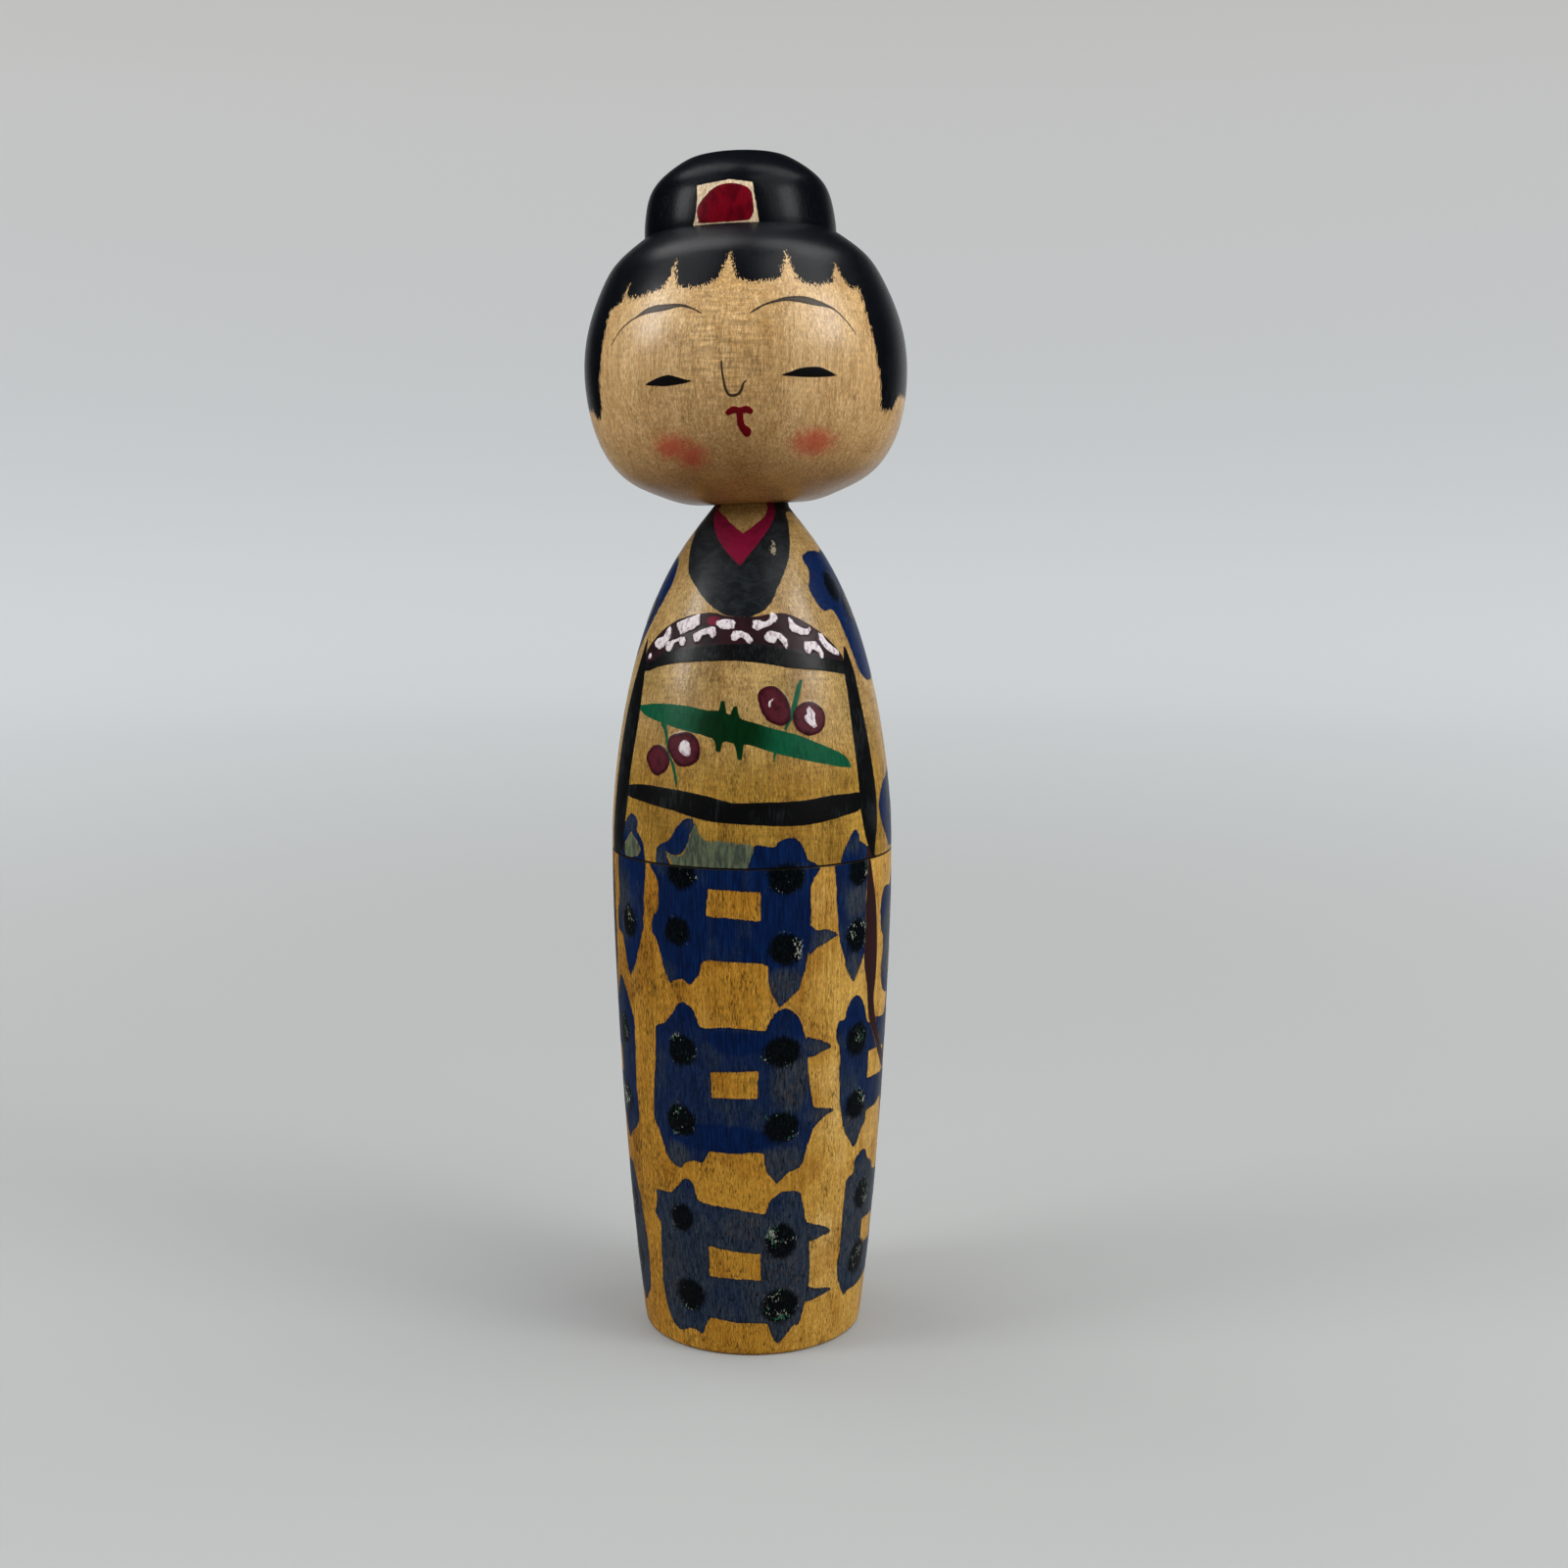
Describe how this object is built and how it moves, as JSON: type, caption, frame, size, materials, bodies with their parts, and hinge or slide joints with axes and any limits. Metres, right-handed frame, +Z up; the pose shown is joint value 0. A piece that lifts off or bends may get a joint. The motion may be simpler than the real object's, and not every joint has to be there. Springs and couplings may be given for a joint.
{
  "type": "kokeshi doll",
  "caption": "Turned wooden kokeshi doll with a painted kimono: a ball head that turns on its tenon, and a torso that lifts off the hollow skirt at a waist seam.",
  "frame": {"origin": "centre of the foot, on the surface the doll stands on", "axes": "+Z up along the body, -Y the way the face looks, +X to the viewer's right"},
  "size_m": [0.0485, 0.0484, 0.1796],
  "materials": {
    "stained_wood": "turned wood stained yellow, blue and black brush paint, satin varnish",
    "painted_wood": "turned wood, brush paint, satin varnish",
    "head_wood": "pale turned wood, black painted hair, polished varnish",
    "black_hair": "turned wood, gloss black paint, varnished",
    "plain_wood": "bare dowel"
  },
  "bodies": {
    "lower_body": {"lower_body": "stained_wood"},
    "upper_body": {"upper_body": "painted_wood"},
    "head": {"head": "head_wood", "topknot": "black_hair", "topknot_peg": "plain_wood"}
  },
  "joints": [
    {"name": "upper_body_lift", "type": "slide", "parent": "lower_body", "child": "upper_body", "axis": [0, 0, 1], "range_m": [0, 0.04]},
    {"name": "head_turn", "type": "hinge", "parent": "upper_body", "child": "head", "pos_m": [0, 0, 0.1285], "axis": [-0.0384, 0, 0.9993], "continuous": true}
  ]
}
